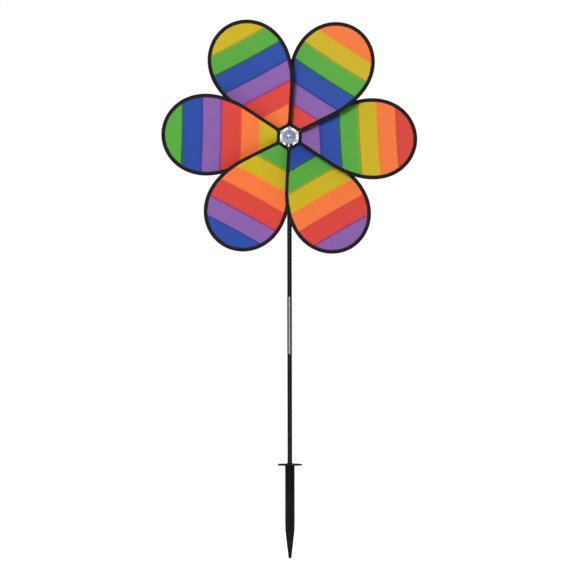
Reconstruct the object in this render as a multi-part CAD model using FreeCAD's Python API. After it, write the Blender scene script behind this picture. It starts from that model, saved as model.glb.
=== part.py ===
"""Wind spinner: a six-petal cloth wheel that turns on a horizontal axle at the top of a two-piece
pole, which stands in a moulded ground stake.

Frame: millimetres, +Z up. The origin is on the stake's axis at ground level, the underside of its
flange. The pole's axis is Z and the wheel faces -Y. Petals are numbered anticlockwise, as seen from
the front, from the one on the right.
"""
import FreeCAD, Part
import math
import os
from FreeCAD import Placement, Rotation, Vector

# ---- driving dimensions: petals -------------------------------------------------------------
PETALS = 6
PETAL_REACH = 238.0          # wheel centre to the rod at a petal's tip
SPOKE_ANGLE = 32.0           # degrees from a petal's axis to each straight end of its rod
BEND_START = 92.0            # along the spoke, where the rod starts to bend
SPOKE_HANDLE, TIP_HANDLE = 110.5, 54.6   # handles of the cubic curve from there round to the tip
WHEEL_REST_ANGLE = -1.5      # degrees anticlockwise from +X to petal 1's axis
ROW_OFFSET = 5.2             # the two rows of rod sockets, extended to the axle, each side of centre
PITCH_RATE = 0.10            # what the petals keep of their pitch far from the hub, as a slope
ROD_R = 1.2
TAPE_OUTSIDE = 2.2           # rod's centreline to the tape's outer edge
TAPE_WIDTH = 6.6             # folded tape, from its outer edge to the cloth
TAPE_THICK = 1.3             # the tape's two layers with the cloth's hem between them
SLEEVE_WIDTH, SLEEVE_THICK = 3.9, 3.5    # the part of the tape that is wrapped round the rod
ROOM_WIDTH, ROOM_THICK = 2.5, 2.95   # the rod's room in the sleeve, thicker because the tape is pitched
STATIONS = 41                # sections that the rod's bent part is swept through
ROOT_R = 19.0                # wheel centre to the tape across a petal's root
ROOT_CORNER_R = 10.0         # tape's outer edge, at the two corners of the root
CLOTH_THICK = 0.4
FIRST_SEAM = 57.0            # wheel centre to the first seam, along the petal
STRIP_WIDTH = 36.0
COLOURS = ["yellow", "orange", "red", "purple", "blue", "green"]   # outwards from the hub, repeating
PETAL_1_FIRST = 3            # petal 1 starts with this one of COLOURS

# ---- driving dimensions: pole, stake and ferrule ----------------------------------------------
POLE_R = 4.3
SPIGOT_R = 3.7               # turned-down ends of the two poles, inside the ferrule
SPIGOT_GAP = 2.0             # between the two spigots
FERRULE_R = 4.5
FERRULE_BORE_R = 3.75
FERRULE_Z = (209.8, 318.0)
FLANGE_R = 22.9
FLANGE_THICK = 3.0
COLLAR_R, COLLAR_TOP = 6.1, 4.6
SOCKET_R, SOCKET_BORE_R = 6.2, 4.35
SOCKET_DEPTH = 50.0
SOCKET_CONE = (-54.0, -72.0)  # where the socket tapers into the fins
FIN_HALF, FIN_THICK = 8.9, 2.6
FIN_TAPER_Z, TIP_Z, TIP_HALF = -121.5, -175.0, 2.9
CORE_R = 2.3

# ---- driving dimensions: axle, holder and hub -------------------------------------------------
AXLE_Z = 618.0               # wheel's axis above the ground
WHEEL_Y = -32.0              # wheel's middle plane, in front of the pole
AXLE_R, BUSH_BORE_R, BUSH_R = 2.0, 2.05, 3.0
HOLDER_R, HOLDER_RIM_R, BOSS_R = 6.3, 7.1, 5.4
HOLDER_BOTTOM, POLE_TOP = AXLE_Z - 31, AXLE_Z - 9
BOSS_FACE = -12.5            # these six are along the axle from the wheel's middle plane, + to the front
HUB_BACK, HUB_FRONT = -10.5, 10.5
RECESS_FLOOR = 6.5
BUSH_SPAN = (-11.0, 7.0)
AXLE_SPAN = (-34.0, 12.0)
NUT_SPAN = (8.4, 8.9)
HUB_R = 13.4
RECESS_R = 7.6
ARM_R, ARM_END = 2.3, 19.2
ROD_HOLE_R, ROD_START = 1.25, 9.5
WASHER_R, WASHER_THICK = 5.0, 1.2
CAP_FLANGE, DOME_R, DOME_HEIGHT, CAP_WALL = 1.2, 11.2, 5.8, 1.3

# ---- worked out from the above ----------------------------------------------------------------
SPOKE = math.radians(SPOKE_ANGLE)
ALONG_SPOKE = Vector(math.cos(SPOKE), math.sin(SPOKE), 0)
AXLE_CENTRE = Vector(0, WHEEL_Y, AXLE_Z)
FRONT = Vector(0, -1, 0)
TALL = 90.0                  # half height of the prisms and half width of the slabs they trim


def save(name, shape):
    """Writes a node's STEP file, after checking that every solid in it is sound."""
    for solid in shape.Solids:
        assert solid.isValid() and solid.Volume > 0, name
    shape.exportStep(f"parts/{name}.step")
    print(f"{name:24s} solids {len(shape.Solids)}  volume {shape.Volume:10.1f} mm3")


def tube_z(radius, low, high):
    return Part.makeCylinder(radius, high - low, Vector(0, 0, low))


def on_axle(radius, back, front):
    """A cylinder round the axle, placed by its distances from the wheel's middle plane."""
    return Part.makeCylinder(radius, front - back, AXLE_CENTRE + FRONT * back, FRONT)


def turned(profile):
    """A solid turned about the axle from (radius, distance to the front) corners."""
    corners = [AXLE_CENTRE + Vector(r, 0, 0) + FRONT * w for r, w in profile]
    face = Part.Face(Part.makePolygon(corners + corners[:1]))
    return face.revolve(AXLE_CENTRE, FRONT, 360)


def soften(shape, size, wanted):
    """Rounds the edges for which wanted(edge) is true."""
    return shape.makeFillet(size, [e for e in shape.Edges if wanted(e)])


def is_circle(edge, radius):
    return isinstance(edge.Curve, Part.Circle) and abs(edge.Curve.Radius - radius) < 0.01


# ---- petal, in its own plane: u outwards, v across, height towards the front -------------------
def petal_height(u, v):
    """The petal is pitched steeply at its root and flattens outwards: the slope falls with 1/u."""
    return -(PITCH_RATE + ROW_OFFSET / math.tan(SPOKE) / u) * v


def half_loop():
    """The rod's bend in plan, from the upper spoke to the tip: a cubic curve tangent to both."""
    curve = Part.BezierCurve()
    curve.setPoles([ALONG_SPOKE * BEND_START, ALONG_SPOKE * (BEND_START + SPOKE_HANDLE),
                    Vector(PETAL_REACH, TIP_HANDLE, 0), Vector(PETAL_REACH, 0, 0)])
    return curve


def tip_points(outside, count=21):
    """Points round the whole bend, moved outside it along its normal, from the lower spoke up."""
    curve = half_loop()
    upper = []
    for i in range(count):
        along = curve.tangent(i / (count - 1))[0]
        point = curve.value(i / (count - 1)) + Vector(-along.y, along.x, 0) * outside
        upper.append((point.x, point.y))
    return [(u, -v) for u, v in upper] + [(u, v) for u, v in reversed(upper[:-1])]


def mirror(point):
    return Vector(point.x, -point.y, 0)


def tip_edge(outside):
    """The tip's curve in plan, and its first and last points."""
    points = [Vector(u, v, 0) for u, v in tip_points(outside)]
    curve = Part.BSplineCurve()
    curve.interpolate(points)
    return curve.toShape(), points[0], points[-1]


def beside_spoke(along, outside):
    """A point on the upper spoke's line, moved outside the petal."""
    return ALONG_SPOKE * along + Vector(-math.sin(SPOKE), math.cos(SPOKE), 0) * outside


def outline(inset):
    """Closed flat outline of the petal, inset from the tape's outer edge."""
    outside = TAPE_OUTSIDE - inset
    across = ROOT_CORNER_R - TAPE_OUTSIDE          # corner's centre to the spoke's line
    from_hub = ROOT_R + ROOT_CORNER_R
    turn = SPOKE - math.asin(across / from_hub)
    towards = Vector(math.cos(turn), math.sin(turn), 0)
    middle = (SPOKE + math.pi / 2 + turn + math.pi) / 2
    side_end = beside_spoke(math.sqrt(from_hub ** 2 - across ** 2), outside)
    corner_mid = towards * from_hub + Vector(math.cos(middle), math.sin(middle), 0) * (ROOT_CORNER_R - inset)
    root_end = towards * (ROOT_R + inset)
    tip, first, last = tip_edge(outside)
    return Part.Wire([tip,
                      Part.LineSegment(last, side_end).toShape(),
                      Part.Arc(side_end, corner_mid, root_end).toShape(),
                      Part.Arc(root_end, Vector(ROOT_R + inset, 0, 0), mirror(root_end)).toShape(),
                      Part.Arc(mirror(root_end), mirror(corner_mid), mirror(side_end)).toShape(),
                      Part.LineSegment(mirror(side_end), first).toShape()])


def beside_rod(half_width, start):
    """Closed flat outline of a strip along the whole rod, as wide as twice half_width."""
    outer, outer_first, outer_last = tip_edge(half_width)
    inner, inner_first, inner_last = tip_edge(-half_width)
    outer_end, inner_end = beside_spoke(start, half_width), beside_spoke(start, -half_width)
    return Part.Wire([outer,
                      Part.LineSegment(outer_last, outer_end).toShape(),
                      Part.LineSegment(outer_end, inner_end).toShape(),
                      Part.LineSegment(inner_end, inner_last).toShape(),
                      inner,
                      Part.LineSegment(inner_first, mirror(inner_end)).toShape(),
                      Part.LineSegment(mirror(inner_end), mirror(outer_end)).toShape(),
                      Part.LineSegment(mirror(outer_end), outer_first).toShape()])


def prism(face):
    face.translate(Vector(0, 0, -TALL))
    return face.extrude(Vector(0, 0, 2 * TALL))


def slab(thick):
    """The petal's pitched surface, thick, and larger than the petal all round."""
    half = TALL
    sides = []
    for v in (-half, half):
        points = [Vector(u, v, petal_height(u, v) - thick / 2)
                  for u in [14, 16, 19, 23, 28, 35, 45, 60, 80, 105, 135, 170, 210, 250]]
        curve = Part.BSplineCurve()
        curve.interpolate(Points=points, Parameters=[p.x for p in points])
        sides.append(curve.toShape())
    return Part.makeRuledSurface(*sides).extrude(Vector(0, 0, thick))


def rod_path():
    """The rod's centreline: up the front row's spoke, round the tip, back down the rear row's."""
    def place(u, v):
        return Vector(u, v, petal_height(u, v))

    tip = [place(u, v) for u, v in tip_points(0)]
    start_u, start_v = ROD_START * math.cos(SPOKE), ROD_START * math.sin(SPOKE)
    first, last = place(start_u, -start_v), place(start_u, start_v)
    curve = Part.BSplineCurve()
    curve.interpolate(tip)
    return [Part.LineSegment(first, tip[0]).toShape(), curve.toShape(),
            Part.LineSegment(tip[-1], last).toShape()]


def frame_on(edge, share):
    """Point at a share of the rod's path, and two directions across it."""
    parameter = edge.FirstParameter + share * (edge.LastParameter - edge.FirstParameter)
    along = edge.tangentAt(parameter)
    side = Vector(0, 0, 1).cross(along).normalize()
    return edge.valueAt(parameter), side, along.cross(side)


def bent_rod(edge):
    """Solid round rod along a curved edge: the eight poles of its circular section, each swept smoothly."""
    frames = [frame_on(edge, i / (STATIONS - 1)) for i in range(STATIONS)]
    corners = [(1, 0), (1, 1), (0, 1), (-1, 1), (-1, 0), (-1, -1), (0, -1), (1, -1), (1, 0)]
    tracks = []
    for x, y in corners:
        track = Part.BSplineCurve()
        track.interpolate(Points=[p + side * (x * ROD_R) + up * (y * ROD_R) for p, side, up in frames],
                          Parameters=list(range(STATIONS)))
        tracks.append(track)
    first = tracks[0]
    weights = [[1.0 if x * y == 0 else math.sqrt(0.5)] * first.NbPoles for x, y in corners]
    skin = Part.BSplineSurface()
    skin.buildFromPolesMultsKnots([t.getPoles() for t in tracks], [3, 2, 2, 2, 3], first.getMultiplicities(),
                                  [0, 1, 2, 3, 4], first.getKnots(), False, False, 2, first.Degree, weights)
    face = skin.toShape()
    ends = [e for e in face.Edges if e.isClosed()]
    shell = Part.makeShell([face] + [Part.Face(Part.Wire(e)) for e in ends])
    shell.sewShape()
    return Part.makeSolid(Part.Shell(shell.Faces))


def make_rod():
    """Straight along each spoke and bent round the tip."""
    spoke_in, tip, spoke_out = rod_path()
    straights = []
    for edge in (spoke_in, spoke_out):
        start, end = edge.Vertexes[0].Point, edge.Vertexes[1].Point
        straights.append(Part.makeCylinder(ROD_R, edge.Length, start, end - start))
    return bent_rod(tip).fuse(straights).Solids[0]


def make_cloth():
    return prism(Part.Face(outline(TAPE_WIDTH))).common(slab(CLOTH_THICK))


def cut_strips(cloth):
    seams = [0.0] + [FIRST_SEAM + STRIP_WIDTH * i for i in range(len(COLOURS) - 1)] + [300.0]
    strips = []
    for low, high in zip(seams, seams[1:]):
        box = Part.makeBox(high - low, 4 * TALL, 4 * TALL, Vector(low, -2 * TALL, -2 * TALL))
        strips.append(cloth.common(box).Solids[0])
    return strips


def ring_of_tape(near, far, thick):
    """The part of the petal between two insets from the tape's outer edge."""
    ring = Part.Face(outline(near)).cut(Part.Face(outline(far)))
    return prism(ring.Faces[0]).common(slab(thick))


def make_binding():
    """Folded tape: a sleeve that holds the rod along its outer edge, and a flat hem on the cloth."""
    sleeve = ring_of_tape(0.0, SLEEVE_WIDTH, SLEEVE_THICK)
    hem = ring_of_tape(SLEEVE_WIDTH - 0.1, TAPE_WIDTH, TAPE_THICK)
    room = prism(Part.Face(beside_rod(ROOM_WIDTH / 2, ROD_START))).common(slab(ROOM_THICK))
    return sleeve.fuse(hem).cut(room).removeSplitter().Solids[0]


def petal_place(number):
    """Carries a petal from its own plane to its place on the wheel."""
    angle = WHEEL_REST_ANGLE + number * 360.0 / PETALS
    stand_up = Placement(AXLE_CENTRE, Rotation(Vector(1, 0, 0), 90))
    return stand_up.multiply(Placement(Vector(0, 0, 0), Rotation(Vector(0, 0, 1), angle)))


def placed(shape, place):
    moved = shape.copy()
    moved.Placement = place.multiply(moved.Placement)
    return moved


# ---- hub --------------------------------------------------------------------------------------
def rod_hole(radius, start, end, side):
    """A cylinder along one end of a petal's rod: side -1 is the front row, +1 the rear row."""
    def place(s):
        u, v = s * math.cos(SPOKE), side * s * math.sin(SPOKE)
        return Vector(u, v, petal_height(u, v))

    a, b = place(start), place(end)
    return Part.makeCylinder(radius, (b - a).Length, a, b - a)


def make_hub():
    """One moulding: a barrel with twelve socket arms in two rows, and a web between each pair."""
    barrel = turned([(0, HUB_BACK), (HUB_R, HUB_BACK), (HUB_R, HUB_FRONT), (0, HUB_FRONT)])
    barrel = soften(barrel, 0.8, lambda e: is_circle(e, HUB_R))
    web_box = Part.makeBox(6.0, 1.6, 2 * ROW_OFFSET, Vector(HUB_R - 1.5, -0.8, -ROW_OFFSET))
    arms, holes = [], []
    for number in range(PETALS):
        place = petal_place(number)
        spoke = place.multiply(Placement(Vector(0, 0, 0), Rotation(Vector(0, 0, 1), 180.0 / PETALS)))
        arms.append(placed(web_box, spoke))
        for side in (-1, 1):
            arm = rod_hole(ARM_R, HUB_R - 2.5, ARM_END, side)
            arms.append(placed(soften(arm, 0.5, lambda e: is_circle(e, ARM_R)), place))
            holes.append(placed(rod_hole(ROD_HOLE_R, ROD_START - 0.5, ARM_END + 1, side), place))
    hub = barrel.multiFuse(arms)
    rear_pocket = turned([(5.2, HUB_BACK), (10.4, HUB_BACK), (10.4, HUB_BACK + 2), (5.2, HUB_BACK + 2)])
    recess = on_axle(RECESS_R, RECESS_FLOOR, HUB_FRONT + 1)
    bore = on_axle(BUSH_R, HUB_BACK - 1, HUB_FRONT)
    return hub.cut([recess, bore, rear_pocket] + holes).Solids[0]


def make_bush():
    bush = on_axle(BUSH_R, *BUSH_SPAN).cut(on_axle(BUSH_BORE_R, BUSH_SPAN[0] - 1, BUSH_SPAN[1] + 1))
    return bush


def dome(radius, base, height):
    """Part of a ball: radius and place of its flat base, and its height, along the axle."""
    ball_r = (radius ** 2 + height ** 2) / (2 * height)
    ball = Part.makeSphere(ball_r, AXLE_CENTRE + FRONT * (base + height - ball_r))
    return ball.common(on_axle(radius + 1, base, base + height + 1))


def make_cap():
    """Snap-in cover for the axle's end: a flange, a hollow dome and a skirt in the hub's recess."""
    base = HUB_FRONT + CAP_FLANGE
    flange = soften(on_axle(HUB_R, HUB_FRONT, base), 0.5, lambda e: is_circle(e, HUB_R))
    outer = flange.fuse([dome(DOME_R, base, DOME_HEIGHT), on_axle(RECESS_R - 0.02, 8.0, HUB_FRONT)])
    inner_r = RECESS_R - CAP_WALL
    inside = on_axle(inner_r, 7.0, base).fuse(dome(DOME_R - CAP_WALL, base - 0.01, DOME_HEIGHT - CAP_WALL))
    return outer.cut(inside).removeSplitter().Solids[0]


# ---- axle and its fixings -----------------------------------------------------------------------
def make_axle():
    axle = on_axle(AXLE_R, *AXLE_SPAN)
    return axle.makeChamfer(0.4, [e for e in axle.Edges if is_circle(e, AXLE_R)])


def washer(back):
    ring = on_axle(WASHER_R, back, back + WASHER_THICK).cut(on_axle(BUSH_BORE_R, back - 1, back + 3))
    return soften(ring, 0.25, lambda e: is_circle(e, WASHER_R))


def make_push_nut():
    """Push-on nut: a thin steel disc with a raised rim and six slits, gripping the plain axle."""
    back, front = NUT_SPAN
    disc = turned([(AXLE_R + 0.01, back), (4.6, back), (4.6, front + 0.9), (4.0, front + 0.9),
                   (4.0, front), (AXLE_R + 0.01, front)])
    slit = Part.makeBox(1.6, 0.4, 4, Vector(AXLE_R - 0.3, -0.2, 0))
    slits = []
    for i in range(6):
        spin = Placement(AXLE_CENTRE + FRONT * (back - 1), Rotation(Vector(1, 0, 0), 90))
        slits.append(placed(slit, spin.multiply(Placement(Vector(), Rotation(Vector(0, 0, 1), 60 * i)))))
    return disc.cut(slits).Solids[0]


def make_holder():
    """Elbow on the pole's top: a vertical socket, a forward boss for the axle and a gusset."""
    boss_y = WHEEL_Y - BOSS_FACE
    upright = tube_z(HOLDER_R, HOLDER_BOTTOM, AXLE_Z).fuse(Part.makeSphere(HOLDER_R, Vector(0, 0, AXLE_Z)))
    rim = soften(tube_z(HOLDER_RIM_R, HOLDER_BOTTOM, HOLDER_BOTTOM + 3), 0.6,
                 lambda e: is_circle(e, HOLDER_RIM_R))
    boss = Part.makeCylinder(BOSS_R, -boss_y, Vector(0, 0, AXLE_Z), FRONT)
    boss = soften(boss, 0.6, lambda e: is_circle(e, BOSS_R) and abs(e.CenterOfMass.y - boss_y) < 0.1)
    low = HOLDER_BOTTOM + 8
    gusset = Part.Face(Part.makePolygon([Vector(-1.2, -5, low), Vector(-1.2, boss_y + 3, AXLE_Z - 5),
                                         Vector(-1.2, boss_y + 3, AXLE_Z), Vector(-1.2, -2, AXLE_Z),
                                         Vector(-1.2, -2, low), Vector(-1.2, -5, low)]))
    body = upright.fuse([rim, boss, gusset.extrude(Vector(2.4, 0, 0))]).removeSplitter()
    pole_bore = tube_z(POLE_R + 0.01, HOLDER_BOTTOM - 1, POLE_TOP + 0.5)
    axle_bore = on_axle(AXLE_R + 0.01, AXLE_SPAN[0] - 0.2, BOSS_FACE + 1)
    return body.cut([pole_bore, axle_bore]).Solids[0]


# ---- pole and stake -------------------------------------------------------------------------------
def make_pole(low, high, spigot_low, spigot_high):
    pole = tube_z(POLE_R, low, high)
    pole = pole.makeChamfer(0.3, [e for e in pole.Edges if is_circle(e, POLE_R)])
    spigot = tube_z(SPIGOT_R, spigot_low, spigot_high)
    spigot = spigot.makeChamfer(0.4, [e for e in spigot.Edges if is_circle(e, SPIGOT_R)])
    return pole.fuse(spigot).Solids[0]


def make_ferrule():
    low, high = FERRULE_Z
    tube = tube_z(FERRULE_R, low, high).cut(tube_z(FERRULE_BORE_R, low - 1, high + 1))
    return tube.makeChamfer(0.25, [e for e in tube.Edges if is_circle(e, FERRULE_R)])


def fin_plate():
    """A full-width plate of the stake's cross section, with straight sides and a tapering end."""
    half = [(FIN_HALF, 0.5), (FIN_HALF, FIN_TAPER_Z), (TIP_HALF, TIP_Z + 1), (TIP_HALF - 1, TIP_Z)]
    corners = [Vector(x, -FIN_THICK / 2, z) for x, z in half]
    corners += [Vector(-x, -FIN_THICK / 2, z) for x, z in reversed(half)]
    plate = Part.Face(Part.makePolygon(corners + corners[:1])).extrude(Vector(0, FIN_THICK, 0))
    long_edges = [e for e in plate.Edges
                  if e.Length > 40 and abs(e.CenterOfMass.x) > TIP_HALF]
    return plate.makeFillet(0.7, long_edges)


def make_stake():
    flange = soften(tube_z(FLANGE_R, 0, FLANGE_THICK), 0.8, lambda e: is_circle(e, FLANGE_R))
    collar = soften(tube_z(COLLAR_R, 0.5, COLLAR_TOP), 0.8,
                    lambda e: is_circle(e, COLLAR_R) and e.CenterOfMass.z > COLLAR_TOP - 1)
    top, bottom = SOCKET_CONE
    socket = tube_z(SOCKET_R, top, 0.5)
    cone = Part.makeCone(CORE_R, SOCKET_R, top - bottom, Vector(0, 0, bottom))
    core = tube_z(CORE_R, TIP_Z + 4, bottom)
    plate = fin_plate()
    cross = plate.copy()
    cross.rotate(Vector(0, 0, 0), Vector(0, 0, 1), 90)
    stake = flange.fuse([collar, socket, cone, core, plate, cross]).removeSplitter()
    return stake.cut(tube_z(SOCKET_BORE_R, -SOCKET_DEPTH, COLLAR_TOP + 1)).Solids[0]


def main():
    os.makedirs("parts", exist_ok=True)
    middle = sum(FERRULE_Z) / 2
    save("ground_stake", make_stake())
    save("pole_lower", make_pole(-SOCKET_DEPTH + 0.2, FERRULE_Z[0], FERRULE_Z[0] - 1, middle - SPIGOT_GAP / 2))
    save("pole_ferrule", make_ferrule())
    save("pole_upper", make_pole(FERRULE_Z[1] + 0.1, POLE_TOP, middle + SPIGOT_GAP / 2, FERRULE_Z[1] + 1))
    save("axle_holder", make_holder())
    save("axle_pin", make_axle())
    save("thrust_washers", Part.makeCompound([washer(BOSS_FACE), washer(BUSH_SPAN[1] + 0.2)]))
    save("push_nut", make_push_nut())
    save("hub_body", make_hub())
    save("hub_bush", make_bush())
    save("hub_cap", make_cap())

    rod = make_rod()
    binding = make_binding()
    strips = cut_strips(make_cloth())
    for number in range(PETALS):
        place = petal_place(number)
        save(f"petal_{number + 1}_rod", placed(rod, place))
        save(f"petal_{number + 1}_binding", placed(binding, place))
        for i, strip in enumerate(strips):
            colour = COLOURS[(PETAL_1_FIRST - number + i) % len(COLOURS)]
            save(f"petal_{number + 1}_{colour}_strip", placed(strip, place))


main()
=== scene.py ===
# %% [markdown]
# # A garden wind spinner
#
# The real thing is a flower of six nylon petals on a two-piece pole. Each petal is cut from six dyed
# strips, sewn edge to edge, and bound all round with a folded black tape. A thin sprung rod runs
# inside the tape, and both its ends are pushed into a moulded hub, so the rod holds the cloth taut
# and pitched like a propeller's blade. The hub turns on a short axle at the top of the pole.
#
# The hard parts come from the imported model, which is loaded once and never moved. The cloth and the
# tape are soft, so they are made here, in the same place and to the same sizes. Only the tape across
# a petal's root is set a little nearer to the hub than its solid.

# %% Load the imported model
import math

import bpy
import numpy as np
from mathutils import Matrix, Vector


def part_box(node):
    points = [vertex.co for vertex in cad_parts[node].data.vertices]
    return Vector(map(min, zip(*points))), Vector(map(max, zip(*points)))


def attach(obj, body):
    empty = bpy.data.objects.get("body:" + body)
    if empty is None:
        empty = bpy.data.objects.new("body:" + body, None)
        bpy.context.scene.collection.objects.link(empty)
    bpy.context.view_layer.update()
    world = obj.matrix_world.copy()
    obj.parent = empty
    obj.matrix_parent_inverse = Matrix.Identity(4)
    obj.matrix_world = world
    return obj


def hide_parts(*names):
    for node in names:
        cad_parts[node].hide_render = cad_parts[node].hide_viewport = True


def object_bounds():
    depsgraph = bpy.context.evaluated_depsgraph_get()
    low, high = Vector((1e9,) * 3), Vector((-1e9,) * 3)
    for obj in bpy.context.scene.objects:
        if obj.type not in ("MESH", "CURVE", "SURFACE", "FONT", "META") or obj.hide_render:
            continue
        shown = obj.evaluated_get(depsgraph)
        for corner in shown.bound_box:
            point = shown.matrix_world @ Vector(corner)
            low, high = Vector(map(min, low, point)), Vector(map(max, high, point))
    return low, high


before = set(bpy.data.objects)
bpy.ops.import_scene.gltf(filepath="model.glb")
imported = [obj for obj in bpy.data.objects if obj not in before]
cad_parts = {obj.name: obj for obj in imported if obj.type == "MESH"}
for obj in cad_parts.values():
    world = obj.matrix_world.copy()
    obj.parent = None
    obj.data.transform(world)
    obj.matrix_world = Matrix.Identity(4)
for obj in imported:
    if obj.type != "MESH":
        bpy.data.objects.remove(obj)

cad_box = [list(corner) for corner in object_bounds()]
print("model's box, metres:", [[round(x, 4) for x in corner] for corner in cad_box])

# %% [markdown]
# ## Sizes
#
# Everything is worked out in millimetres and turned to metres when a mesh is made. The wheel's centre
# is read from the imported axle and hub, so the soft pieces follow the model if it changes. A petal is
# drawn in its own plane first: u runs outwards from the hub, v runs across, and the height is towards
# the front.

# %% Sizes in millimetres
MM = 0.001
PETALS = 6
REST_ANGLE = -1.5            # degrees from level to the first petal's axis
REACH = 238.0                # wheel's centre to the rod at the petal's tip
SPOKE = math.radians(32.0)   # petal's axis to each straight end of its rod
BEND_START = 92.0            # along the spoke, where the rod starts to bend
SPOKE_HANDLE, TIP_HANDLE = 110.5, 54.6   # handles of the cubic curve from there round to the tip
ROW_OFFSET = 5.2             # how far in front of and behind the middle the two rows of sockets are
PITCH_RATE = 0.10            # the steady part of a petal's slope, across it
TAPE_OUTSIDE = 2.2           # the tape's outer edge, outside the rod's centreline
SLEEVE, TAPE_WIDTH = 3.9, 6.6   # from the tape's outer edge: the part round the rod, and the whole
ROOT_R, CORNER_R = 17.4, 14.0   # the tape across the root, and its outer edge at the root's corners
FIRST_SEAM, STRIP_WIDTH = 57.0, 36.0   # from the wheel's centre, and from one seam to the next
LAP = 2.0                    # each strip's seam allowance past the seam
MAP_MM = 100.0               # millimetres of cloth or tape to one unit of its map
DYES = ["yellow", "orange", "red", "purple", "blue", "green"]

axle_low, axle_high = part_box("axle_pin")
hub_low, hub_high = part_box("hub_body")
CENTRE = np.array([(axle_low.x + axle_high.x) / 2, (hub_low.y + hub_high.y) / 2,
                   (axle_low.z + axle_high.z) / 2]) / MM
print("wheel's centre, mm:", CENTRE.round(2))

# %% [markdown]
# ## Helpers for colour and nodes
#
# Colours are written as the hex values a paint chart gives and turned linear by one function. One
# function adds a shader node with its settings and links.

# %% Colour and nodes


def linear(hex_colour):
    """sRGB hex to linear light: a straight part near black and a 2.4 power above it."""
    values = [int(hex_colour[i:i + 2], 16) / 255 for i in (1, 3, 5)]
    return tuple(v / 12.92 if v <= 0.04045 else ((v + 0.055) / 1.055) ** 2.4 for v in values) + (1.0,)


def add_node(material, kind, settings=None, inputs=None):
    """Adds a node to a material or a world. settings are its properties, and inputs are values, or
    (node, output name) to link."""
    tree = material.node_tree
    node = tree.nodes.new(kind)
    for key, value in (settings or {}).items():
        setattr(node, key, value)
    for key, value in (inputs or {}).items():
        if isinstance(value, tuple) and len(value) == 2 and isinstance(value[0], bpy.types.Node):
            tree.links.new(value[0].outputs[value[1]], node.inputs[key])
        else:
            node.inputs[key].default_value = value
    return node


def new_material(name, **sockets):
    """An empty material with one Principled shader, returned with it. Sockets are set on the shader."""
    material = bpy.data.materials.new(name)
    material.use_nodes = True
    shader = material.node_tree.nodes["Principled BSDF"]
    for key, value in sockets.items():
        shader.inputs[key.replace("_", " ")].default_value = value
    return material, shader


def wire(material, source, output, target, socket):
    material.node_tree.links.new(source.outputs[output], target.inputs[socket])


# %% [markdown]
# ## Camera, light and floor
#
# The spinner is long and thin and is seen square on from far away, so the lens is long and level: the
# round flange of the stake shows as hardly more than a line. White paper surrounds it on every side.
# A large softbox at the upper left in front gives the round parts shape, and one high up behind
# lights the back. The paper lights the front more than the back, which keeps the poles' edges dark.

# %% Camera
CAMERA_AWAY = 10.0
CAMERA_X, CAMERA_Z = -0.0029, 0.3341
FRAME_WIDTH = 1.0843         # metres across the frame at the pole
SENSOR_WIDTH = 36.0          # millimetres, as the lens is
ROLL = math.radians(0.1)     # the pole leans by about this much in the frame


def add_camera():
    data = bpy.data.cameras.new("camera")
    data.sensor_width = SENSOR_WIDTH
    data.lens = data.sensor_width * CAMERA_AWAY / FRAME_WIDTH
    data.clip_end = 100.0
    camera = bpy.data.objects.new("camera", data)
    camera.location = (CAMERA_X, -CAMERA_AWAY, CAMERA_Z)
    camera.rotation_euler = (math.pi / 2, ROLL, 0.0)
    bpy.context.scene.collection.objects.link(camera)
    bpy.context.scene.camera = camera
    print("lens, mm:", round(data.lens, 1))


add_camera()

# %% Light
AIM = np.array([0.0, 0.0, 0.45])
BRIGHT_IN_FRONT, DIM_BEHIND = 0.42, 0.04
FRONT_STARTS, FRONT_FULL = 0.1, -0.7   # Y of the direction where the light starts to rise and is full
PAPER_GREY = 0.8


def add_softbox(name, place, size, watts):
    """A square area light, turned so that its -Z looks at AIM."""
    data = bpy.data.lights.new(name, "AREA")
    data.shape = "SQUARE"
    data.size = size
    data.energy = watts
    light = bpy.data.objects.new(name, data)
    bpy.context.scene.collection.objects.link(light)
    light.location = place
    direction = AIM - np.array(place)
    tilt = math.atan2(math.hypot(direction[0], direction[1]), -direction[2])
    turn = math.atan2(direction[1], direction[0]) - math.pi / 2
    light.rotation_euler = (tilt, 0.0, turn)


add_softbox("key_softbox", (-1.5, -5.5, 2.2), 2.0, 340.0)
add_softbox("back_softbox", (0.9, 2.4, 3.0), 1.6, 110.0)


def paper_world():
    """White paper to look at. As a light it is bright in front and dim behind, so that edges stay dark."""
    world = bpy.data.worlds.new("white_paper")
    world.use_nodes = True
    shown = world.node_tree.nodes["Background"]
    shown.inputs["Color"].default_value = (1.0, 1.0, 1.0, 1.0)
    where = add_node(world, "ShaderNodeTexCoord")
    split = add_node(world, "ShaderNodeSeparateXYZ", inputs={"Vector": (where, "Generated")})
    front = add_node(world, "ShaderNodeMapRange", inputs={
        "Value": (split, "Y"), "From Min": FRONT_STARTS, "From Max": FRONT_FULL,
        "To Min": DIM_BEHIND, "To Max": BRIGHT_IN_FRONT})
    lit = add_node(world, "ShaderNodeBackground", inputs={
        "Color": (PAPER_GREY, PAPER_GREY, PAPER_GREY, 1.0), "Strength": (front, "Result")})
    rays = add_node(world, "ShaderNodeLightPath")
    mix = add_node(world, "ShaderNodeMixShader", inputs={
        "Fac": (rays, "Is Camera Ray"), 1: (lit, "Background"), 2: (shown, "Background")})
    wire(world, mix, "Shader", world.node_tree.nodes["World Output"], "Surface")
    bpy.context.scene.world = world


paper_world()
bpy.context.scene.view_settings.view_transform = "Standard"

# %% [markdown]
# ## Helpers for meshes
#
# Meshes are grids: an array of points with two indices, which becomes quads, optionally closed into a
# tube or a ring. A sheet gets its thickness from a modifier.

# %% Grids to meshes


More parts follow.
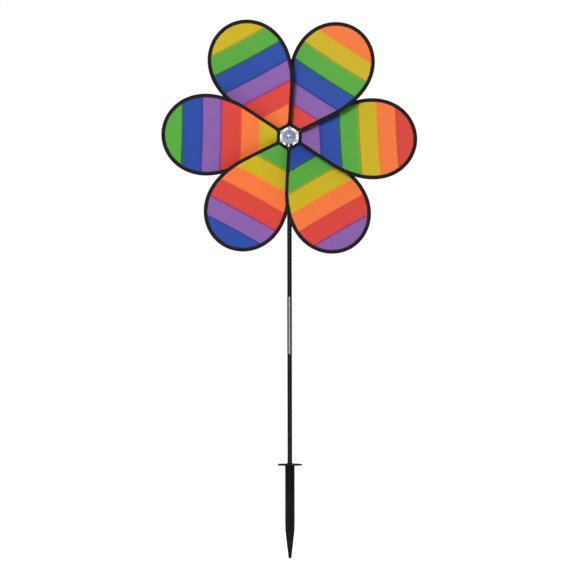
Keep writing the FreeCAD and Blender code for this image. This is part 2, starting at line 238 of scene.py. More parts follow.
def grid_faces(rows, columns, ring_rows=False, ring_columns=False):
    """Quads of a grid whose point (i, j) is number i * columns + j. A ring joins the last to the first."""
    i = np.arange(rows if ring_rows else rows - 1)
    j = np.arange(columns if ring_columns else columns - 1)
    i, j = np.meshgrid(i, j, indexing="ij")
    k, m = (i + 1) % rows, (j + 1) % columns
    quads = np.stack([i * columns + j, k * columns + j, k * columns + m, i * columns + m], axis=-1)
    return quads.reshape(-1, 4)


def mesh_object(name, points, quads, material, uv=None):
    """Makes a smooth mesh from points in mm. uv holds one pair a point, copied to each corner."""
    mesh = bpy.data.meshes.new(name)
    mesh.from_pydata((points * MM).tolist(), [], quads.tolist())
    mesh.polygons.foreach_set("use_smooth", np.ones(len(mesh.polygons), bool))
    if uv is not None:
        layer = mesh.uv_layers.new(name="cloth_mm")
        corners = np.empty(len(mesh.loops), np.int32)
        mesh.loops.foreach_get("vertex_index", corners)
        layer.data.foreach_set("uv", uv[corners].astype(np.float32).ravel())
    mesh.materials.append(material)
    mesh.update()
    piece = bpy.data.objects.new(name, mesh)
    bpy.context.scene.collection.objects.link(piece)
    return piece


def solidify(piece, thickness, offset=0.0):
    """Gives a surface its thickness: half each way at offset 0, and all inwards at -1."""
    modifier = piece.modifiers.new("thickness", "SOLIDIFY")
    modifier.thickness = thickness * MM
    modifier.offset = offset


# %% Floor
FLOOR_R, FLOOR_BELOW = 1400.0, 1.0   # the disc's radius, and how far under the stake's point it lies
FLOOR_RINGS, FLOOR_SIDES = 7, 96

# a light table's top: white acrylic, lit evenly from under it
floor_material, floor_shader = new_material(
    "backlit_white_acrylic", Base_Color=linear("#f4f4f2"), Roughness=0.6,
    Emission_Color=(1.0, 1.0, 1.0, 1.0), Emission_Strength=0.6)
grain = add_node(floor_material, "ShaderNodeTexNoise", inputs={"Scale": 40.0, "Detail": 4.0})
bump = add_node(floor_material, "ShaderNodeBump", inputs={"Strength": 0.05, "Height": (grain, "Fac")})
wire(floor_material, bump, "Normal", floor_shader, "Normal")

radii = np.linspace(0.0, FLOOR_R, FLOOR_RINGS + 1)[1:]
angles = np.linspace(0, 2 * np.pi, FLOOR_SIDES + 1)[:-1]
r, a = np.meshgrid(radii, angles, indexing="ij")
floor_z = cad_box[0][2] / MM - FLOOR_BELOW
disc = np.stack([r * np.cos(a), r * np.sin(a), np.full_like(r, floor_z)], axis=-1).reshape(-1, 3)
disc = np.vstack([disc, [[0.0, 0.0, floor_z]]])
outer_quads = grid_faces(FLOOR_RINGS, FLOOR_SIDES, ring_columns=True)
first_ring = np.arange(FLOOR_SIDES)
middle = np.stack([first_ring, np.roll(first_ring, -1), np.full_like(first_ring, len(disc) - 1)], axis=-1)
floor_mesh = bpy.data.meshes.new("floor")
floor_mesh.from_pydata((disc * MM).tolist(), [], outer_quads.tolist() + middle.tolist())
floor_mesh.materials.append(floor_material)
floor = bpy.data.objects.new("floor", floor_mesh)
bpy.context.scene.collection.objects.link(floor)
print("floor at z =", round(floor_z, 1), "mm")

# %% [markdown]
# ## Nylon cloth
#
# The petals are dyed nylon taffeta, a close plain weave of shiny filament threads with a thin
# waterproof coat. It is flat and strong in colour, with a soft sheen, and thin enough that where two
# layers lap at a seam their colours add up to a darker one. That lap is drawn as a band of the mixed
# dye along both ends of a strip. One unit of the cloth's own map is a strip's width one way and 100 mm
# the other, so the band lies at the same place on every strip's map. A thread is 0.12 mm across, too
# fine to show, so the weave is drawn at 0.9 mm.

# %% Dyed nylon taffeta
DYE_HEX = {"yellow": "#b09912", "orange": "#d56732", "red": "#bc382f",
           "purple": "#755091", "blue": "#1d3e8c", "green": "#489032"}
LAP_HEX = {"yellow": "#d07f1f", "orange": "#c04028", "red": "#8c2f66",
           "purple": "#2b3180", "blue": "#12504e", "green": "#7c8a22"}   # from this dye to the next one out
WEAVE_MM = 0.9
LAP_EDGE = 0.006             # half the blend from dye to lap, in strip widths


def nylon(dye):
    """Dyed cloth with a darker lap at both ends, clouds of tone 45 mm across and a plain weave."""
    inner, outer = DYES[DYES.index(dye) - 1], dye
    material, shader = new_material(f"nylon_taffeta_{dye}", Roughness=0.62, Sheen_Weight=0.06,
                                    Sheen_Roughness=0.4, Specular_IOR_Level=0.16)
    place = add_node(material, "ShaderNodeUVMap", {"uv_map": "cloth_mm"})
    split = add_node(material, "ShaderNodeSeparateXYZ", inputs={"Vector": (place, "UV")})
    lap = add_node(material, "ShaderNodeValToRGB", inputs={"Fac": (split, "X")})
    edge = LAP / STRIP_WIDTH
    stops = [(0.0, LAP_HEX[inner]), (edge - LAP_EDGE, LAP_HEX[inner]),
             (edge + LAP_EDGE, DYE_HEX[dye]), (1 - edge - LAP_EDGE, DYE_HEX[dye]),
             (1 - edge + LAP_EDGE, LAP_HEX[outer]), (1.0, LAP_HEX[outer])]
    ramp = lap.color_ramp
    while len(ramp.elements) < len(stops):
        ramp.elements.new(0.5)
    for element, (position, colour) in zip(ramp.elements, stops):
        element.position = position
        element.color = linear(colour)
    where = add_node(material, "ShaderNodeTexCoord")
    uneven = add_node(material, "ShaderNodeTexNoise", inputs={"Vector": (where, "Object"), "Scale": 22.0,
                                                              "Detail": 3.0, "Roughness": 0.6})
    shade = add_node(material, "ShaderNodeMapRange", inputs={"Value": (uneven, "Fac"), "To Min": 0.955,
                                                             "To Max": 1.045})
    dyed = add_node(material, "ShaderNodeVectorMath", {"operation": "SCALE"},
                    {0: (lap, "Color"), "Scale": (shade, "Result")})
    wire(material, dyed, "Vector", shader, "Base Color")
    threads = []
    for direction, per_unit in (("X", STRIP_WIDTH), ("Y", MAP_MM)):
        count = per_unit / WEAVE_MM
        turns = add_node(material, "ShaderNodeMath", {"operation": "MULTIPLY"},
                         {0: (split, direction), 1: 2 * math.pi * count})
        threads.append(add_node(material, "ShaderNodeMath", {"operation": "SINE"}, {0: (turns, "Value")}))
    weave = add_node(material, "ShaderNodeMath", {"operation": "MULTIPLY"},
                     {0: (threads[0], "Value"), 1: (threads[1], "Value")})
    bump = add_node(material, "ShaderNodeBump", inputs={"Strength": 0.10, "Distance": 0.0001,
                                                        "Height": (weave, "Value")})
    wire(material, bump, "Normal", shader, "Normal")
    return material


cloth_materials = {dye: nylon(dye) for dye in DYES}
print("dyes:", ", ".join(cloth_materials))

# %% [markdown]
# ## The petal's surface
#
# A petal is pitched steeply at its root, where its two edges go into the two rows of sockets, and
# flattens towards its tip. One formula gives the height of any point: the slope across the petal is a
# small steady pitch and a part that falls as one over the distance from the hub. Its slope gives the
# normal, along which cloth and tape get their thickness.

# %% Petal surface
ALONG_SPOKE = np.array([math.cos(SPOKE), math.sin(SPOKE)])
TWIST = ROW_OFFSET / math.tan(SPOKE)   # the part of the slope that falls as one over the distance
SEAM_SEEDS, SLOW_SEED, EDGE_SEED, HEM_SEED, FOLD_SEED = 100, 300, 700, 900, 950   # one a kind of wave


def half_loop(count):
    """The rod's bend from the upper spoke to the tip: a cubic Bezier curve's points and outward normals."""
    t = np.linspace(0.0, 1.0, count)[:, None]
    a, b = BEND_START * ALONG_SPOKE, (BEND_START + SPOKE_HANDLE) * ALONG_SPOKE
    c, d = np.array([REACH, TIP_HANDLE]), np.array([REACH, 0.0])
    points = (1 - t) ** 3 * a + 3 * (1 - t) ** 2 * t * b + 3 * (1 - t) * t ** 2 * c + t ** 3 * d
    along = (1 - t) ** 2 * (b - a) + 2 * (1 - t) * t * (c - b) + t ** 2 * (d - c)
    along /= np.linalg.norm(along, axis=-1, keepdims=True)
    return points, np.stack([-along[:, 1], along[:, 0]], axis=-1)


def petal_height(u, v):
    """Height = -(steady pitch + twist / u) * v."""
    return -(PITCH_RATE + TWIST / u) * v


def petal_normal(u, v):
    """The upward normal of the height field, from its two slopes."""
    slope_u = TWIST * v / u ** 2
    slope_v = -(PITCH_RATE + TWIST / u)
    normal = np.stack([-slope_u, -slope_v, np.ones_like(u)], axis=-1)
    return normal / np.linalg.norm(normal, axis=-1, keepdims=True)


def on_petal(u, v, lift):
    """Points at (u, v) on the petal's surface, raised by lift along its normal."""
    surface = np.stack([u, v, petal_height(u, v)], axis=-1)
    return surface + petal_normal(u, v) * np.asarray(lift)[..., None]


def on_wheel(points, petal):
    """Turns petal points to their place on the wheel and stands the wheel up, facing -Y."""
    angle = math.radians(REST_ANGLE) + petal * 2 * math.pi / PETALS
    u, v, w = points[..., 0], points[..., 1], points[..., 2]
    across = u * math.cos(angle) - v * math.sin(angle)
    up = u * math.sin(angle) + v * math.cos(angle)
    return np.stack([across, -w, up], axis=-1) + CENTRE


def ripple(along, seed, longest, count=5):
    """A sum of sine waves with shorter and shorter wavelengths and seeded phases, about 1 high."""
    random = np.random.default_rng(seed)
    total = np.zeros_like(along, dtype=float)
    for k in range(count):
        wavelength = longest / (1 + 0.55 * k) * random.uniform(0.85, 1.15)
        total += np.sin(2 * np.pi * along / wavelength + random.uniform(0, 2 * np.pi)) / (1 + 0.5 * k)
    return total / 2.2


# %% [markdown]
# ## Cloth strips
#
# Each strip is its own cut piece of nylon. It is a grid: one direction runs outwards and the other
# across, from edge to edge under the tape. Sewing draws the cloth up, so small puckers stand square to
# each seam and to the tape and die away within a centimetre. At a seam the inner strip laps in front
# of the outer one. A cloth simulation would give the same taut sheet, so the puckers are put in.

# %% Cloth strips
CLOTH_UNDER = 1.6            # the cloth's edge, inside the rod's centreline
CLOTH_THICK = 0.2
CLOTH_ROWS, TIP_ROWS, COLUMNS = 29, 33, 121
TIP_SWEEP = math.radians(88.5)   # nearly a quarter turn, whose sine spaces the last strip's rows
PUCKER = 0.30                # height of the puckers along seams and tape
TAPE_FADE, SEAM_FADE = 8.0, 7.0   # distances in which they die away
TAPE_LONGEST, SEAM_LONGEST = 13.0, 17.0   # and their longest wavelengths
SIDE_SHIFT = 31.0            # moves the puckers on along one side, so that a petal's sides differ
SLOW_WAVE = 0.55             # height of the slow waves over the whole petal
SLOW_LONGEST = 120.0         # their longest wavelength
SLOW_SLANT = (0.6, 0.3)      # how far they move on with each millimetre outwards and across
SLOW_RISE = 30.0             # from the cloth's edge to where they are full
HIDDEN = 2.5                 # the cloth's edge that lies in the tape and stays flat
PUCKER_RISE = 5.0            # from there to where the puckers are full
LAP_LIFT = 0.28              # how far the inner strip lies in front of the outer one at a seam
LAP_RISE, LAP_EASE = 2.0, 3.0   # it rises over the first, and goes flat at the tape over the second
LOOP, LOOP_OUT = half_loop(401)
CLOTH_EDGE = LOOP - CLOTH_UNDER * LOOP_OUT
SEAM_LEAN = (-4.5, 2.0, 1.0, 0.0, -3.0, -1.5)    # degrees that each petal's seams are sewn out of square
SEAM_SHIFT = (1.5, -2.0, -0.5, -1.0, 2.0, -1.5)  # and how far out they are
SEAM_BOW, HALF_SEAM = 1.0, 60.0   # a seam is this much further out at this distance from its middle
ROOT_DYE = DYES.index("purple")   # of the first petal


def cloth_half_width(u):
    """Straight along the spoke to the bend, and then read off the bend, both moved in from the rod."""
    straight = u * math.tan(SPOKE) - CLOTH_UNDER / math.cos(SPOKE)
    bent = np.interp(u, CLOTH_EDGE[:, 0], CLOTH_EDGE[:, 1])
    return np.where(u < CLOTH_EDGE[0, 0], straight, bent)


def seam_at(number):
    """Distance from the hub of the seam at a strip's outer end."""
    return FIRST_SEAM + STRIP_WIDTH * number


def strip_rows(number):
    """Distances from the hub of a strip's rows. The last strip's rows crowd together at the tip."""
    start = ROOT_R + CLOTH_UNDER if number == 0 else seam_at(number - 1) - LAP
    if number < len(DYES) - 1:
        return np.linspace(start, seam_at(number) + LAP, CLOTH_ROWS)
    end = REACH - CLOTH_UNDER
    return start + (end - start) * np.sin(np.linspace(0.0, TIP_SWEEP, TIP_ROWS))


def dye_of(petal, number):
    """Each petal starts its run of dyes one place earlier than the petal before it."""
    return DYES[(ROOT_DYE - petal + number) % len(DYES)]


def sewn_out_of_square(u, v, petal):
    """How far out each point is moved by its petal's lean, shift and bow, none at the root or the tip."""
    root, tip = strip_rows(0)[0], REACH - CLOTH_UNDER
    share = np.clip((u - root) / (FIRST_SEAM - root), 0.0, 1.0)
    share = share * np.clip((tip - u) / (tip - seam_at(len(DYES) - 2)), 0.0, 1.0)
    lean = math.tan(math.radians(SEAM_LEAN[petal])) * v
    return share * (lean + SEAM_SHIFT[petal] + SEAM_BOW * (v / HALF_SEAM) ** 2)


def cloth_lift(row, v, to_edge, petal, number):
    """Height of the puckers, mm: waves along both seams and along the tape, fading away from each, and
    slow waves over the whole petal that are still at its edges."""
    waves = ripple(row + np.sign(v) * SIDE_SHIFT, EDGE_SEED + petal, TAPE_LONGEST)
    lift = PUCKER * np.exp(-to_edge / TAPE_FADE) * waves
    for seam in (number, number - 1):
        if 0 <= seam < len(DYES) - 1:
            fade = np.exp(-np.abs(row - seam_at(seam)) / SEAM_FADE)
            lift = lift + PUCKER * fade * ripple(v, SEAM_SEEDS * petal + seam + 1, SEAM_LONGEST)
    slow = ripple(row * SLOW_SLANT[0] + v * SLOW_SLANT[1], SLOW_SEED + petal, SLOW_LONGEST, 3)
    clear_of_tape = np.clip((to_edge - HIDDEN) / PUCKER_RISE, 0.0, 1.0)
    return clear_of_tape * (lift + SLOW_WAVE * np.clip(to_edge / SLOW_RISE, 0.0, 1.0) * slow)


def flat_area(u, v):
    """A grid's flat area: half the cross product of each cell's two diagonals, added up."""
    across_u, across_v = u[1:, 1:] - u[:-1, :-1], v[1:, 1:] - v[:-1, :-1]
    back_u, back_v = u[1:, :-1] - u[:-1, 1:], v[1:, :-1] - v[:-1, 1:]
    return float(abs(np.sum(across_u * back_v - across_v * back_u)) / 2)


def cloth_strip(petal, number):
    """One strip's points, map, dye, flat area and flat size."""
    rows = strip_rows(number)
    across = np.linspace(-1, 1, COLUMNS)[None, :]
    row = np.repeat(rows[:, None], COLUMNS, axis=1)
    u = row + sewn_out_of_square(row, cloth_half_width(rows)[:, None] * across, petal)
    half = cloth_half_width(u)
    v = half * across
    to_edge = half - np.abs(v)
    lift = cloth_lift(row, v, to_edge, petal, number)
    if number < len(DYES) - 1:
        lapped = np.clip((row - (seam_at(number) - LAP - LAP_RISE)) / LAP_RISE, 0.0, 1.0)
        lift = lift + LAP_LIFT * lapped * np.clip((to_edge - HIDDEN) / LAP_EASE, 0.0, 1.0)
    points = on_wheel(on_petal(u, v, lift), petal).reshape(-1, 3)
    uv = np.stack([(row - seam_at(number - 1)) / STRIP_WIDTH, v / MAP_MM], axis=-1).reshape(-1, 2)
    return points, uv, dye_of(petal, number), flat_area(u, v), (float(np.ptp(v)), float((u[-1] - u[0]).max()))


for petal in range(PETALS):
    for number in range(len(DYES)):
        points, uv, dye, area, size = cloth_strip(petal, number)
        quads = grid_faces(len(strip_rows(number)), COLUMNS)
        piece = mesh_object(f"petal_{petal + 1}_{dye}_cloth", points, quads, cloth_materials[dye], uv)
        solidify(piece, CLOTH_THICK)
        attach(piece, "wheel")
        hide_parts(f"petal_{petal + 1}_{dye}_strip")
print("cloth strips:", PETALS * len(DYES), " last strip's flat size, mm:", [round(s, 1) for s in size],
      " area, cm2:", round(area / 100, 1))

# %% [markdown]
# ## Binding tape
#
# The tape is a woven polyester ribbon folded in half over the cloth's raw edge, with the rod inside
# the fold. Its section is a fat sleeve round the rod and a flat hem, and the section is carried round
# the petal's whole outline. Across the root, where there is no rod, the sleeve goes flat. The outline
# is made of the two spokes, the bend round the tip, two rounded corners and an arc round the hub, each
# shifted inwards along its normal, so any point of the tape is found from a place along the edge and
# an inset.

# %% Outline of a petal
CORNER_STEPS, ROOT_STEPS, SPOKE_STEPS, BEND_STEPS = 15, 21, 41, 131
ROD_FROM, ROD_FADE = 21.5, 9.0   # where the rod enters the tape, and how soon the sleeve is full
NARROW_FOLD, EASED_FOLD = 6.4, 0.9   # the fold's width where it is straight, and what the tip adds
EASED_FROM, EASED_OVER = 95.0, 50.0   # from the wheel's centre, where it starts to widen, and how gently


def outline_stations():
    """Places round the tape's rod line: points, outward directions, and how much of the rod is there.

    Anticlockwise from the upper corner: corner, root's arc, other corner, spoke, tip, spoke.
    """
    across = CORNER_R - TAPE_OUTSIDE
    from_hub = ROOT_R + CORNER_R
    turn = SPOKE - math.asin(across / from_hub)
    side_end = math.sqrt(from_hub ** 2 - across ** 2)
    corner = from_hub * np.array([math.cos(turn), math.sin(turn)])

    def arc(centre, radius, angles, sign):
        out = np.stack([np.cos(angles), np.sin(angles)], axis=-1)
        return centre + radius * out, sign * out

    parts = []
    angles = np.linspace(SPOKE + np.pi / 2, turn + np.pi, CORNER_STEPS)[:-1]
    parts.append(arc(corner, across, angles, 1.0))
    angles = np.linspace(turn, -turn, ROOT_STEPS)[:-1]
    parts.append(arc(np.zeros(2), ROOT_R + TAPE_OUTSIDE, angles, -1.0))
    angles = np.linspace(np.pi - turn, 3 * np.pi / 2 - SPOKE, CORNER_STEPS)[:-1]
    parts.append(arc(corner * [1, -1], across, angles, 1.0))
    reach = np.linspace(side_end, BEND_START, SPOKE_STEPS)[:-1, None]
    outwards = np.repeat([[-math.sin(SPOKE), math.cos(SPOKE)]], SPOKE_STEPS - 1, axis=0)
    bend, bend_out = half_loop(BEND_STEPS)
    parts.append((reach * ALONG_SPOKE * [1, -1], outwards * [1, -1]))
    parts.append((bend[:-1] * [1, -1], bend_out[:-1] * [1, -1]))
    parts.append((bend[:0:-1], bend_out[:0:-1]))
    parts.append((reach[::-1] * ALONG_SPOKE + (BEND_START - reach[-1]) * ALONG_SPOKE, outwards))
    places = np.vstack([p for p, _ in parts])
    outward = np.vstack([o for _, o in parts])
    step = np.linalg.norm(np.diff(places, axis=0, append=places[:1]), axis=-1)
    along = np.concatenate([[0.0], np.cumsum(step)[:-1]])
    from_axis = np.linalg.norm(places, axis=-1)
    return places, outward, along, float(step.sum()), np.clip((from_axis - ROD_FROM) / ROD_FADE, 0.0, 1.0)


EDGE, OUTWARD, ALONG, TAPE_LENGTH, HAS_ROD = outline_stations()
# the fold is a little narrower where the tape is straight than where it is eased round the tip
FROM_AXIS = np.linalg.norm(EDGE, axis=-1)
FOLD = NARROW_FOLD + EASED_FOLD * np.clip((FROM_AXIS - EASED_FROM) / EASED_OVER, 0.0, 1.0)
print("tape's length, mm:", round(TAPE_LENGTH), " stations:", len(EDGE))

# %% Tape and thread
RIBBON_THICK = 0.3
RIB_ALONG, RIB_ACROSS = 1.1, 0.8   # the weave's ribs, drawn at about twice their real size to show


def binding_material():
    """Woven polyester ribbon: fine ribs across it, matt, with a faint plum cast in its black."""
    material, shader = new_material("woven_polyester_ribbon", Roughness=0.8, Sheen_Weight=0.04,
                                    Specular_IOR_Level=0.18)
    place = add_node(material, "ShaderNodeUVMap", {"uv_map": "cloth_mm"})
    split = add_node(material, "ShaderNodeSeparateXYZ", inputs={"Vector": (place, "UV")})
    waves = []
    for axis, pitch in (("X", RIB_ALONG), ("Y", RIB_ACROSS)):
        turns = add_node(material, "ShaderNodeMath", {"operation": "MULTIPLY"},
                         {0: (split, axis), 1: 2 * math.pi * MAP_MM / pitch})
        waves.append(add_node(material, "ShaderNodeMath", {"operation": "SINE"}, {0: (turns, "Value")}))
    ribs = add_node(material, "ShaderNodeMath", {"operation": "MULTIPLY_ADD"},
                    {0: (waves[1], "Value"), 1: 0.35, 2: (waves[0], "Value")})
    bump = add_node(material, "ShaderNodeBump", inputs={"Strength": 0.35, "Distance": 0.00015,
                                                        "Height": (ribs, "Value")})
    wire(material, bump, "Normal", shader, "Normal")
    where = add_node(material, "ShaderNodeTexCoord")
    worn = add_node(material, "ShaderNodeTexNoise", inputs={"Vector": (where, "Object"), "Scale": 90.0,
                                                            "Detail": 4.0})
    tone = add_node(material, "ShaderNodeValToRGB", inputs={"Fac": (worn, "Fac")})
    tone.color_ramp.elements[0].color = linear("#0b0709")
    tone.color_ramp.elements[1].color = linear("#161013")
    wire(material, tone, "Color", shader, "Base Color")
    return material


def thread_material():
    """Spun polyester sewing thread: its dye comes from an attribute of the stitches."""
    material, shader = new_material("spun_polyester_thread", Roughness=0.55, Sheen_Weight=0.2)
    dye = add_node(material, "ShaderNodeAttribute", {"attribute_name": "dye"})
    wire(material, dye, "Color", shader, "Base Color")
    return material


tape_material, stitch_material = binding_material(), thread_material()

# %% Tape mesh
ROOT_SLEEVE, ROD_SLEEVE = 0.75, 0.9   # half the sleeve's thickness with no rod, and what the rod adds
HEM_HALF = 0.5
HEM_END, SLEEVE_END = 0.3, 0.6   # how far from the hem's edge and from the outer edge they thin out
SLEEVE_SWELL, HEM_WAVE, FOLD_WANDER = 0.07, 0.16, 0.2   # how uneven the sewn tape is
HEM_LONGEST, FOLD_LONGEST = 15.0, 40.0   # longest wavelengths of the hem's puckers and the fold's width
WAVE_FROM, WAVE_OVER = 2.5, 3.5   # the hem's waves start at this inset and are full this much further in
INSETS = np.array([0.0, 0.06, 0.25, 0.6, 1.1, 1.7, 2.3, 2.9, 3.4, 3.9, 4.6, 5.4, 6.0, 6.4, TAPE_WIDTH])


def tape_thickness(inset, rod):
    """Half the tape's thickness: an ellipse round the rod, no thinner than the hem, with round ends."""
    roundness = np.sqrt(np.clip(1 - (inset / TAPE_OUTSIDE - 1) ** 2, 0.0, None))
    sleeve = (ROOT_SLEEVE + ROD_SLEEVE * rod) * roundness
    ends = np.clip((TAPE_WIDTH - inset) / HEM_END, 0.0, 1.0) ** 0.5 * np.clip(inset / SLEEVE_END, 0.0, 1.0)
    return (sleeve ** 4 + (HEM_HALF * ends) ** 4) ** 0.25


def tape_point(inset, side, petal):
    """Points of the tape's front (side 1) or back (side -1) face, for every station and every inset."""
    pucker = ripple(ALONG, HEM_SEED + petal, HEM_LONGEST)[:, None]
    fold = (FOLD + FOLD_WANDER * ripple(ALONG, FOLD_SEED + petal, FOLD_LONGEST))[:, None]
    half = tape_thickness(np.broadcast_to(inset, (len(EDGE), len(inset))), HAS_ROD[:, None])
    hem_scale = (fold - SLEEVE) / (TAPE_WIDTH - SLEEVE)
    inset = np.minimum(inset, SLEEVE) + np.maximum(inset - SLEEVE, 0.0) * hem_scale
    places = EDGE[:, None, :] + OUTWARD[:, None, :] * (TAPE_OUTSIDE - inset)[..., None]
    wave = HEM_WAVE * pucker * np.clip((inset - WAVE_FROM) / WAVE_OVER, 0.0, 1.0)
    return on_petal(places[..., 0], places[..., 1], side * half * (1 + SLEEVE_SWELL * pucker) + wave), inset


def tape_mesh(petal):
    """The front face's rows and then the back face's, in one loop round the tape's section."""
    front, inset = tape_point(INSETS, 1.0, petal)
    back, _ = tape_point(INSETS[-2:0:-1], -1.0, petal)
    points = np.concatenate([front, back], axis=1)
    around = np.concatenate([inset, 2 * TAPE_WIDTH - inset[:, -2:0:-1]], axis=1)
    uv = np.stack([np.repeat(ALONG[:, None], points.shape[1], axis=1), around], axis=-1) / MAP_MM
    quads = grid_faces(points.shape[0], points.shape[1], ring_rows=True, ring_columns=True)
    return on_wheel(points, petal).reshape(-1, 3), quads, uv.reshape(-1, 2)


# %% Stitches
STITCH_RINGS, STITCH_SIDES = 5, 6
STITCH_POINTS = STITCH_RINGS * STITCH_SIDES
HEM_PITCH, HEM_STITCH_R, HEM_INSET = 3.2, 0.24, 5.1   # the hem's stitches, one to the next, and their row
SEAM_PITCH, SEAM_STITCH_R, SEAM_ROW = 3.0, 0.17, 1.7    # a seam's, and how far each row is from it
SEAM_ENDS = 3.5              # the seam's stitches stop this far inside the cloth's edge
HEM_COVER, SEAM_COVER = 0.74, 0.72   # the share of the pitch that a stitch's thread covers
HEM_THREAD = "#2a2226"
SEAM_THREAD_SHADE = (0.8, 0.8, 0.8, 1.0)   # the seam's thread is a fifth darker than its lap


def stitch_mesh(starts, ends, normals, radius):
    """Each stitch is a thread that dips into the cloth at both ends: rings along it, closed at its ends."""
    t = np.array([0.0, 0.12, 0.5, 0.88, 1.0])[:, None]
    fat = np.array([0.35, 0.9, 1.0, 0.9, 0.35]) * radius
    rise = np.array([-0.9, 0.1, 0.5, 0.1, -0.9])[:, None] * radius
    line = starts[:, None, :] * (1 - t) + ends[:, None, :] * t + normals[:, None, :] * rise
    along = ends - starts
    along /= np.linalg.norm(along, axis=-1, keepdims=True)
    side = np.cross(normals, along)
    angle = np.arange(STITCH_SIDES)[:, None] * 2 * np.pi / STITCH_SIDES
    ring = side[:, None, None, :] * np.cos(angle) + normals[:, None, None, :] * np.sin(angle)
    points = line[:, :, None, :] + ring * fat[:, None, None]
    quads = grid_faces(STITCH_RINGS, STITCH_SIDES, ring_columns=True)
    first, last = np.array([[3, 2, 1, 0], [5, 4, 3, 0]]), np.array([[0, 1, 2, 3], [0, 3, 4, 5]])
    faces = np.vstack([quads, first, last + STITCH_POINTS - STITCH_SIDES])
    every = np.arange(len(starts))[:, None, None] * STITCH_POINTS
    return points.reshape(-1, 3), (faces[None] + every).reshape(-1, 4)


def dye_stitches(piece, colours):
    """Stores a colour on each point, for the thread's material."""
    attribute = piece.data.attributes.new("dye", "FLOAT_COLOR", "POINT")
    attribute.data.foreach_set("color", colours.astype(np.float32).ravel())


def tape_stitches(petal):
    """A row of stitches along the hem, on the front and on the back."""
    count = int(TAPE_LENGTH / HEM_PITCH)
    places = np.arange(count) * TAPE_LENGTH / count
    made = []
    for side in (1.0, -1.0):
        row, _ = tape_point(np.array([HEM_INSET]), side, petal)
        row = row[:, 0, :]
        loop = np.concatenate([ALONG, [TAPE_LENGTH]])
        closed = np.vstack([row, row[:1]])
        starts, ends = [np.stack([np.interp(at, loop, closed[:, k]) for k in range(3)], axis=-1)
                        for at in (places, places + HEM_COVER * HEM_PITCH)]
        made.append((starts, ends, petal_normal(starts[:, 0], starts[:, 1]) * side))
    return [np.vstack(parts) for parts in zip(*made)]


def seam_stitches(petal):
    """Two rows of stitches along each seam, on the front and on the back, with their dyes."""
    made, dyes = [], []
    for number in range(len(DYES) - 1):
        for offset in (-SEAM_ROW, SEAM_ROW):
            place = seam_at(number) + offset
            half = float(cloth_half_width(np.array(place)))
            v = np.arange(SEAM_ENDS - half, half - SEAM_ENDS - SEAM_PITCH, SEAM_PITCH)
            v_end = v + SEAM_COVER * SEAM_PITCH
            row = np.full_like(v, place)
            for side in (1.0, -1.0):
                lift = cloth_lift(row, v, half - np.abs(v), petal, number) + (0.5 + side) * LAP_LIFT
                u = row + sewn_out_of_square(row, v, petal)
                u_end = row + sewn_out_of_square(row, v_end, petal)
                made.append((on_petal(u, v, lift), on_petal(u_end, v_end, lift), petal_normal(u, v) * side))
                dyes += [linear(LAP_HEX[dye_of(petal, number)])] * len(v)
    starts, ends, normals = [np.vstack(parts) for parts in zip(*made)]
    return starts, ends, normals, np.array(dyes) * SEAM_THREAD_SHADE


def sew(name, petal, starts, ends, normals, radius):
    """Makes a petal's stitches into one piece on the wheel."""
    directions = on_wheel(normals, petal) - CENTRE
    points, quads = stitch_mesh(on_wheel(starts, petal), on_wheel(ends, petal), directions, radius)
    piece = mesh_object(name, points, quads, stitch_material)
    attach(piece, "wheel")
    return piece


for petal in range(PETALS):
    points, quads, uv = tape_mesh(petal)
    tape = mesh_object(f"petal_{petal + 1}_binding_tape", points, quads, tape_material, uv)
    solidify(tape, RIBBON_THICK, offset=-1.0)
    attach(tape, "wheel")
    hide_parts(f"petal_{petal + 1}_binding")
    starts, ends, normals = tape_stitches(petal)
    hem = sew(f"petal_{petal + 1}_binding_stitches", petal, starts, ends, normals, HEM_STITCH_R)
    dye_stitches(hem, np.tile(linear(HEM_THREAD), (len(starts) * STITCH_POINTS, 1)))
    starts, ends, normals, dyes = seam_stitches(petal)
    seams = sew(f"petal_{petal + 1}_seam_stitches", petal, starts, ends, normals, SEAM_STITCH_R)
    dye_stitches(seams, np.repeat(dyes, STITCH_POINTS, axis=0))
print("stitches a petal:", len(hem.data.vertices) // STITCH_POINTS, "on the tape and",
      len(seams.data.vertices) // STITCH_POINTS, "on seams")

# %% [markdown]
# ## Hard parts
#
# The poles and the petals' rods are pultruded fibreglass with a black surface coat: glossy, with faint
# streaks along the pole. The ferrule is a length of drawn aluminium tube, satin, with fine lines along
# it. The stake and the elbow are moulded in black plastic, and the hub and its cap in a cloudy grey
# plastic. The cap's strong blue-grey mottle is partly that cloudiness and partly painted reflections.
# Their shapes in the imported model are right, so they stay and only get their finishes.

# %% Finishes for the hard parts


def give_finish(node, material):
    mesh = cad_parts[node].data
    mesh.materials.clear()
    mesh.materials.append(material)


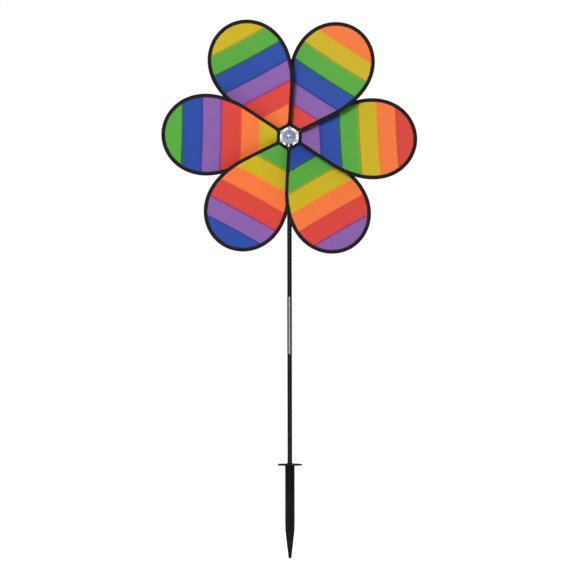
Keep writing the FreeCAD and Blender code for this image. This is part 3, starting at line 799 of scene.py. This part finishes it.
def streaked(name, low, high, roughness, stretch, **sockets):
    """A finish whose tone and bump vary in streaks about 1 mm wide and long in Z."""
    material, shader = new_material(name, **sockets)
    where = add_node(material, "ShaderNodeTexCoord")
    squeeze = add_node(material, "ShaderNodeMapping", inputs={"Vector": (where, "Object"),
                                                              "Scale": (1.0, 1.0, stretch)})
    streaks = add_node(material, "ShaderNodeTexNoise", inputs={"Vector": (squeeze, "Vector"), "Scale": 900.0,
                                                               "Detail": 5.0, "Roughness": 0.6})
    tone = add_node(material, "ShaderNodeValToRGB", inputs={"Fac": (streaks, "Fac")})
    tone.color_ramp.elements[0].position, tone.color_ramp.elements[1].position = 0.3, 0.7
    tone.color_ramp.elements[0].color, tone.color_ramp.elements[1].color = linear(low), linear(high)
    wire(material, tone, "Color", shader, "Base Color")
    rough = add_node(material, "ShaderNodeMapRange", inputs={
        "Value": (streaks, "Fac"), "To Min": roughness - 0.06, "To Max": roughness + 0.06})
    wire(material, rough, "Result", shader, "Roughness")
    bump = add_node(material, "ShaderNodeBump", inputs={"Strength": 0.12, "Distance": 0.00005,
                                                        "Height": (streaks, "Fac")})
    wire(material, bump, "Normal", shader, "Normal")
    return material


def moulded(name, low, high, roughness, cloud_scale=110.0, grain_mm=1.2, **sockets):
    """Moulded plastic: a cloudy tone, 9 mm across unless told, and the fine pebble of a blasted mould."""
    material, shader = new_material(name, **sockets)
    where = add_node(material, "ShaderNodeTexCoord")
    cloud = add_node(material, "ShaderNodeTexNoise", inputs={
        "Vector": (where, "Object"), "Scale": cloud_scale, "Detail": 3.0})
    tone = add_node(material, "ShaderNodeValToRGB", inputs={"Fac": (cloud, "Fac")})
    tone.color_ramp.elements[0].position, tone.color_ramp.elements[1].position = 0.3, 0.7
    tone.color_ramp.elements[0].color, tone.color_ramp.elements[1].color = linear(low), linear(high)
    wire(material, tone, "Color", shader, "Base Color")
    pebble = add_node(material, "ShaderNodeTexNoise", inputs={"Vector": (where, "Object"),
                                                              "Scale": 1000.0 / grain_mm, "Detail": 2.0})
    rough = add_node(material, "ShaderNodeMapRange", inputs={
        "Value": (pebble, "Fac"), "To Min": roughness - 0.07, "To Max": roughness + 0.07})
    wire(material, rough, "Result", shader, "Roughness")
    bump = add_node(material, "ShaderNodeBump", inputs={"Strength": 0.15, "Distance": 0.00008,
                                                        "Height": (pebble, "Fac")})
    wire(material, bump, "Normal", shader, "Normal")
    return material


fibreglass = streaked("pultruded_fibreglass", "#060606", "#0c0b0c", 0.25, 0.02, IOR=1.5,
                      Specular_IOR_Level=0.3)
drawn_aluminium = streaked("drawn_aluminium", "#6c7478", "#8f969a", 0.34, 0.01, Metallic=1.0)
zinc_plate = streaked("zinc_plated_steel", "#a3a6a8", "#c6c9ca", 0.28, 0.2, Metallic=1.0)
turned_brass = streaked("turned_brass", "#b48f45", "#cba95c", 0.3, 0.5, Metallic=1.0)
black_polypropylene = moulded("black_polypropylene", "#050504", "#0a0908", 0.38, IOR=1.49,
                              Specular_IOR_Level=0.09)
black_nylon = moulded("glass_filled_nylon", "#131314", "#1d1d1e", 0.42, IOR=1.53)
natural_nylon = moulded("natural_nylon", "#d8d4c8", "#e4e1d8", 0.45, IOR=1.53)
cloudy_hub = moulded("cloudy_polycarbonate_hub", "#9fa4b1", "#b7bbc6", 0.3, IOR=1.58, Coat_Weight=0.3)
# the cap's mottle, #4a566e to #a3aec0 in spots about 3 mm across, is partly cloudy plastic and partly painted
# reflections: many small highlights drawn into its colour
cap_mottle_painted_reflections = moulded("polycarbonate_cap_with_painted_reflections", "#4a566e", "#a3aec0", 0.22, 320.0, IOR=1.58, Coat_Weight=0.4,
                     Coat_Roughness=0.08)

finishes = {"ground_stake": black_polypropylene, "pole_lower": fibreglass, "pole_upper": fibreglass,
            "pole_ferrule": drawn_aluminium, "axle_holder": black_nylon, "axle_pin": zinc_plate,
            "thrust_washers": natural_nylon, "push_nut": zinc_plate, "hub_body": cloudy_hub,
            "hub_bush": turned_brass, "hub_cap": cap_mottle_painted_reflections}
finishes.update({f"petal_{petal + 1}_rod": fibreglass for petal in range(PETALS)})
for node, material in finishes.items():
    give_finish(node, material)
print("parts finished:", len(finishes))
